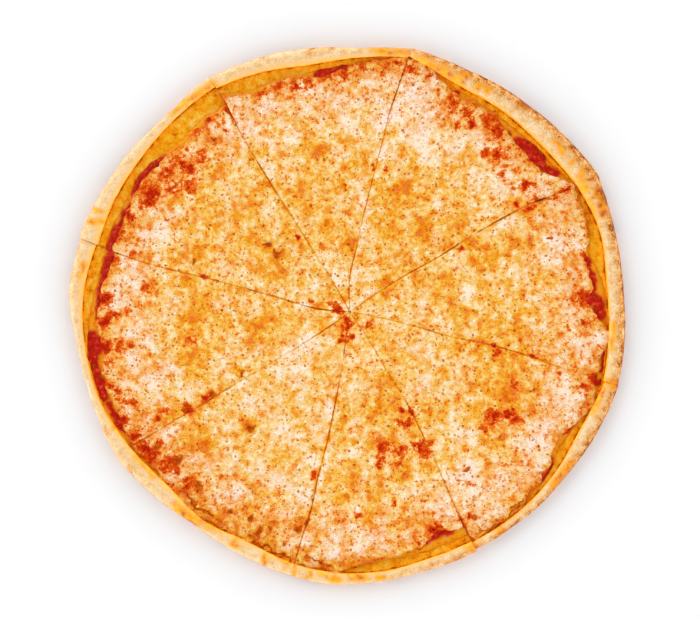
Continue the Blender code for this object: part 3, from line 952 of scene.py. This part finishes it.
# Painted highlights: the rounded lips of cheese beside the cuts, laid in as pale cream where they
# catch the light.
LIP_HIGHLIGHTS_BY_CUTS = {
    0: [(20, 14, 4, 3), (146, 14, -5, 5), (193, 9, 6, 6)],
    1: [(25, 14, -3, 3), (75, 35, -3, 2.5), (130, 30, -3, 3), (175, 28, -6, 6)],
    2: [(30, 20, -3, 3), (100, 22, -2.5, 2), (142, 14, -2.5, 2.5), (184, 12, -2.5, 2.5)],
    3: [(37, 6, -2.5, 2), (189, 8, 7, 5)], 4: [(58, 25, 5, 5), (110, 20, 3, 3), (186, 9, 5, 4)],
    5: [(126, 9, -6, 5), (137, 36, 2.5, 2), (156, 14, -5, 4)],
    6: [(118, 9, 3, 3), (168, 18, 5, 5), (175, 20, -5, 5)], 7: [(179, 7, 5, 4), (190, 7, -7, 4)],
}
# Painted shade: dark burnt lines laid along the cuts where their gaps fall in shade, listed as
# above.
CUT_SHADE_LINES = {
    0: [(100, 10, 0, 0.6), (128, 3, 0, 0.9), (148, 10, 0, 0.9), (186, 5, -0.5, 1.2)],
    1: [(180, 25, 0, 0.6)], 2: [(130, 25, 0, 0.6), (199, 12, 0, 0.8)],
    3: [(30, 15, 0, 0.7), (83, 4, 0, 0.8), (126, 4, 0, 1.2), (211, 8, 0, 1)],
    4: [(121, 4, 0, 0.8), (138, 9, 0, 0.8), (203, 12, 0, 0.7)],
    5: [(33, 3, 0, 0.8), (150, 15, 0, 0.6), (178, 4, 0, 0.8)], 6: [(205, 14, 0, 0.9)],
    7: [(123, 3, 0, 0.8), (218, 7, 0, 1)],
}
SPECKS = {
    1: [(305.5, 187), (314, 192)], 1.1: [(66.9, 125.7)],
}
CHEESE_CUTS = 250
CHEESE_BEVEL = 2.4 * MM

# Noise on the cheese: the size of its bumps, in millimetres, and its seed.
CHEESE_NOISE = {
    "swells": (45, 7), "lumps": (14, 11), "curds": (6, 45), "grains": (2.6, 46), "pools": (24, 47),
    "blushes": (18, 50),
}
# How much each feature adds to the height, in millimetres, and to the attributes.
RELIEF = {
    "swells": 0.45, "lumps": 0.35, "curds": 0.4, "grains": 0.3, "thin": -0.7, "burnt": 0.5,
    "orange": -0.3, "cream_and_lip_highlights": 0.3,
}
OIL = {
    "all": 0.47, "pools": 0.28, "lumps": -0.34, "curds": -0.44, "grains": -0.3, "outer": 0.06,
    "golden": 0.22, "cream_and_lip_highlights": -0.42, "orange": 0.3, "groove": 0.7, "burnt": 0.25, "thin": 0.25,
    "at_edge": 0.08,
}
SEEP = {
    "all": -0.11, "open": 0.66, "red": 0.44, "at_edge": 0.04, "outer": 0.1, "mottles": 0.14,
    "outer_mottles": 0.06, "grains": -0.25, "curds": -0.4, "cream_and_lip_highlights": -0.17,
}
PINK = {
    "all": -0.82, "blushes": 0.5, "cream_and_lip_highlights": 0.25, "outer": 0.47, "golden": -0.3, "orange": -0.5,
    "at_edge": -0.3,
}
# The burnt attribute: burnt bubbles and specks, and painted shade along the cuts.
BURNING_AND_CUT_SHADE = {"all": -0.12, "bubbles": 1.45, "specks": 1, "cut_shade": 1.1}


def beside_cuts(marks, number, radius, to_first, to_last):
    """How strongly each point lies in any of the marks beside a slice's two cuts, from 0 to 1."""
    inside = np.zeros(len(radius))
    for cut, beside in ((number, to_first), ((number + 1) % len(SLICES), -to_last)):
        for place, half_length, side, half_width in marks.get(cut, []):
            along = (radius / MM - place) / half_length
            across = (beside / MM - side) / half_width
            inside = np.maximum(inside, np.exp(-(along**2) - across**2))
    return inside


def cheese_features(number, xy, radius, edge, to_first, to_last):
    """How much of each feature there is at each point of one slice's cheese."""
    noises = CHEESE_NOISE.items()
    feature = {name: bumps(xy, size * MM, seed) for name, (size, seed) in noises}
    marked = shuffled(shuffled(xy, 11 * MM, 4 * MM, 43), 4 * MM, 2.2 * MM, 44)
    loose = layered(xy, (1.5, 5, 49))
    cuts = (number, radius + 2 * loose, to_first + loose, to_last + loose)
    by_cuts = beside_cuts(RED_BY_CUTS, *cuts)
    # The pale lips beside the cuts are painted highlights, and count as cream below.
    lip_highlights = beside_cuts(LIP_HIGHLIGHTS_BY_CUTS, *cuts)
    thin = np.maximum(patches(marked, SEEPS), by_cuts)
    burnt = patches(marked, BURNT)
    orange = np.maximum(patches(marked, ORANGE), beside_cuts(ORANGE_BY_CUTS, *cuts))
    outer = smooth_step(145 * MM, 190 * MM, radius)
    mottles = smooth_step(0.2, 0.5, bumps(xy, 9 * MM, 51))
    in_cut = 1 - smooth_step(0, 1.1 * MM, np.minimum(to_first, to_last))
    feature.update({
        "all": 1,
        "thin": thin,
        "open": smooth_step(0, 0.95, thin),
        "red": np.maximum(patches(marked, REDS), 0.6 * by_cuts),
        "burnt": burnt,
        "bubbles": smooth_step(0.1, 0.8, burnt),
        "orange": np.maximum(orange, 0.9 * patches(marked, ORANGE_BANDS)),
        "lip_highlights": lip_highlights,
        "cream_and_lip_highlights": np.maximum(patches(marked, CREAM), lip_highlights),
        "golden": patches(marked, GOLDEN),
        "cut_shade": beside_cuts(CUT_SHADE_LINES, number, radius, to_first, to_last),
        "specks": patches(xy, SPECKS),
        "outer": outer,
        "mottles": mottles,
        "outer_mottles": outer * mottles,
        "groove": in_cut * (0.36 + 0.5 * bumps(xy, 30 * MM, 48)).clip(0.18, 0.6),
        "at_edge": 1 - smooth_step(1 * MM, 7 * MM, edge - radius),
    })
    return feature


def make_cheese_piece(number):
    """The melted cheese of one slice, with its curds, its marks and a ragged edge."""
    mesh = wedge_sheet(CHEESE_CUTS)
    places = sheet_places(mesh, number, SLICES[number].cheese, (3.6, 13, 41), (2, 5, 42))
    radius, edge, to_first, to_last, ragged, xy = places
    feature = cheese_features(number, xy, radius, edge, to_first, to_last)

    def weigh(weights):
        """The sum of the features, each times its weight."""
        return sum(weight * feature[name] for name, weight in weights.items())

    thickness = CHEESE_THICKNESS + weigh(RELIEF) * MM
    inward = ((edge - radius + ragged) / CHEESE_BEVEL).clip(0, 1)
    rounding = np.sqrt(1 - (1 - inward) ** 2)
    share = np.minimum(0.15 + 0.85 * rounding, 1 - feature["groove"])
    move_points(mesh, xy, CHEESE_FLOOR + thickness * share)
    close_below(mesh, CHEESE_FLOOR)
    attributes = {
        "oil": weigh(OIL),
        "pink": weigh(PINK),
        "seep": weigh(SEEP) * (1 - 0.8 * feature["lip_highlights"]),
        "burnt": weigh(BURNING_AND_CUT_SHADE),
    }
    return add_piece("melted", "cheese", number, mesh, melted_mozzarella, attributes)


make_layer("cheeses:", make_cheese_piece)

# %% [markdown]
# ## The studio
#
# A plain white floor, light from all round that is strongest near the horizon, and a weak soft lamp
# high on the left. The camera looks straight down, as a food photographer's does on a copy stand.

# %% Floor, light and camera
FLOOR_SIZE = 3
FLOOR_DROP = 0.05 * MM
# The room's light at the horizon, and the sine of the height at which it has faded to nothing.
HORIZON_LIGHT = 3.7
FADED = 0.9
LAMP_STRENGTH = 0.3
LAMP_WIDTH = math.radians(35)


def add_floor():
    """A wide white sheet just under the pizza."""
    mesh = bmesh.new()
    bmesh.ops.create_grid(mesh, x_segments=1, y_segments=1, size=FLOOR_SIZE)
    bmesh.ops.translate(mesh, verts=mesh.verts, vec=(0, 0, -FLOOR_DROP))
    data = bpy.data.meshes.new("floor")
    mesh.to_mesh(data)
    mesh.free()
    material, tree, shader = new_material("white_paper")
    inputs = {"Base Color": (0.97, 0.978, 0.99, 1), "Roughness": 0.9, "Specular IOR Level": 0.1}
    set_inputs(tree, shader, inputs)
    data.materials.append(material)
    floor = new_object("floor", data)


def add_light():
    """Soft light from all round, brighter from low down, and one soft lamp."""
    world = bpy.data.worlds.new("soft_room")
    world.use_nodes = True
    tree = world.node_tree
    way = add_node(tree, "ShaderNodeTexCoord", {}, {}).outputs["Generated"]
    up = add_node(tree, "ShaderNodeSeparateXYZ", {}, {"Vector": way}).outputs["Z"]
    strength = rescaled(tree, up, 0, FADED, HORIZON_LIGHT, 0)
    inputs = {"Color": (1, 1, 1, 1), "Strength": strength}
    set_inputs(tree, tree.nodes["Background"], inputs)
    bpy.context.scene.world = world
    lamp = bpy.data.lights.new("soft_lamp", "SUN")
    lamp.energy = LAMP_STRENGTH
    lamp.angle = LAMP_WIDTH
    holder = new_object("soft_lamp", lamp)
    holder.location = (-0.9, 0.7, 1.3)
    holder.rotation_euler = (math.radians(-28), math.radians(-32), 0)


# One pixel of the 700 by 617 picture is this many millimetres on the pizza, and the cuts cross at
# this pixel.
PIXEL = 0.83775 * MM
PICTURE = (700, 617)
CROSS_PIXEL = (350, 312)
LENS = 100
SENSOR = 36


def add_camera():
    """A long lens straight above, framed so that the cuts cross at their pixel."""
    camera = bpy.data.cameras.new("overhead")
    camera.lens = LENS
    camera.sensor_width = SENSOR
    distance = PICTURE[0] * PIXEL * LENS / SENSOR
    holder = new_object("overhead", camera)
    x = CUTS_CROSS[0] + (PICTURE[0] / 2 - CROSS_PIXEL[0]) * PIXEL
    y = CUTS_CROSS[1] - (PICTURE[1] / 2 - CROSS_PIXEL[1]) * PIXEL
    holder.location = (x, y, distance + CHEESE_FLOOR)
    bpy.context.scene.camera = holder


add_floor()
add_light()
add_camera()
bpy.context.scene.view_settings.view_transform = "Standard"
